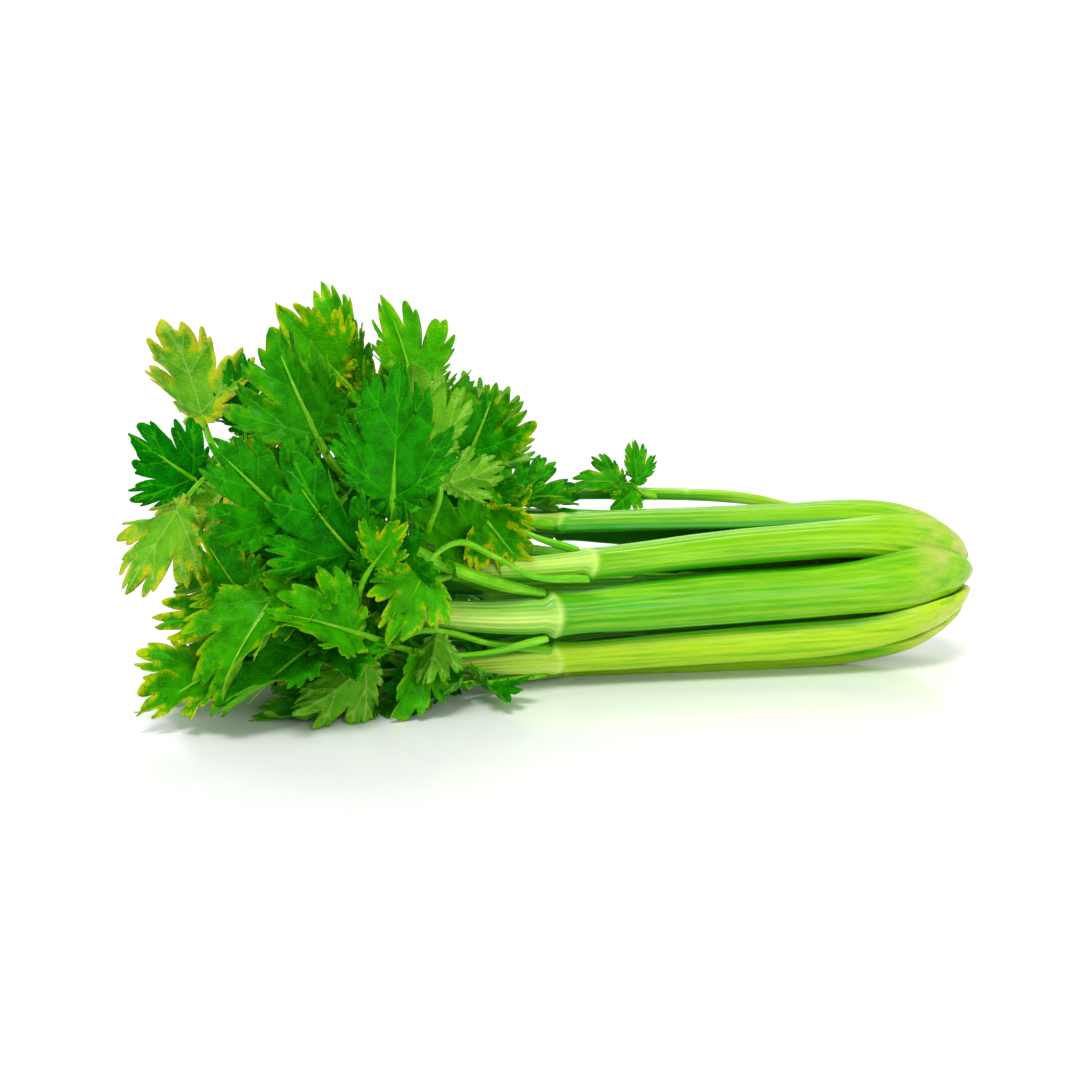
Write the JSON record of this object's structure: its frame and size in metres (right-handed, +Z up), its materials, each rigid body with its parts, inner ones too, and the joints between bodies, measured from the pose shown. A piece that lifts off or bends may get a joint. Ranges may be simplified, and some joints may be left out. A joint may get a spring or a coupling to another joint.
{
  "type": "head of celery",
  "caption": "Head of celery lying on its side: thick ridged ribs gathered at a cut root, with branching stems and toothed leaves at the other end.",
  "frame": {"origin": "middle of the head's box, on the surface it lies on", "axes": "+X towards the cut root, -X towards the leaves, +Z up"},
  "size_m": [0.4358, 0.232, 0.1976],
  "materials": {
    "stalk": "moist, smooth, yellow-green with pale ridges",
    "leaf": "waxy, vivid green with yellow margins, paler underneath",
    "root": "cut plant flesh, cream with a tan rim"
  },
  "bodies": {
    "root": {"root_crown": "root", "rib_front_top": "stalk", "rib_front_middle": "stalk", "rib_front_bottom": "stalk", "rib_under": "stalk", "rib_back_bottom": "stalk", "rib_back_middle": "stalk", "rib_back_top": "stalk", "rib_top": "stalk", "rib_inner_1": "stalk", "rib_inner_2": "stalk", "rib_inner_3": "stalk", "rib_inner_4": "stalk", "rib_inner_5": "stalk", "rib_heart_1": "stalk", "rib_heart_2": "stalk", "shoot_top": "stalk", "leaf_front_top_1": "leaf", "leaf_front_top_2": "leaf", "leaf_front_top_3": "leaf", "leaf_front_top_4": "leaf", "leaf_front_top_5": "leaf", "leaf_front_middle_1": "leaf", "leaf_front_middle_2": "leaf", "leaf_front_middle_3": "leaf", "leaf_front_middle_4": "leaf", "leaf_front_middle_5": "leaf", "leaf_front_bottom_1": "leaf", "leaf_front_bottom_2": "leaf", "leaf_front_bottom_3": "leaf", "leaf_front_bottom_4": "leaf", "leaf_front_bottom_5": "leaf", "leaf_under_1": "leaf", "leaf_under_2": "leaf", "leaf_under_3": "leaf", "leaf_under_4": "leaf", "leaf_back_bottom_1": "leaf", "leaf_back_bottom_2": "leaf", "leaf_back_bottom_3": "leaf", "leaf_back_bottom_4": "leaf", "leaf_back_middle_1": "leaf", "leaf_back_middle_2": "leaf", "leaf_back_middle_3": "leaf", "leaf_back_middle_4": "leaf", "leaf_back_middle_5": "leaf", "leaf_back_top_1": "leaf", "leaf_back_top_2": "leaf", "leaf_back_top_3": "leaf", "leaf_back_top_4": "leaf", "leaf_back_top_5": "leaf", "leaf_top_1": "leaf", "leaf_top_2": "leaf", "leaf_top_3": "leaf", "leaf_top_4": "leaf", "leaf_top_5": "leaf", "leaf_inner_1_1": "leaf", "leaf_inner_1_2": "leaf", "leaf_inner_2_1": "leaf", "leaf_inner_5_1": "leaf", "shoot_leaf_1": "leaf"}
  },
  "joints": []
}
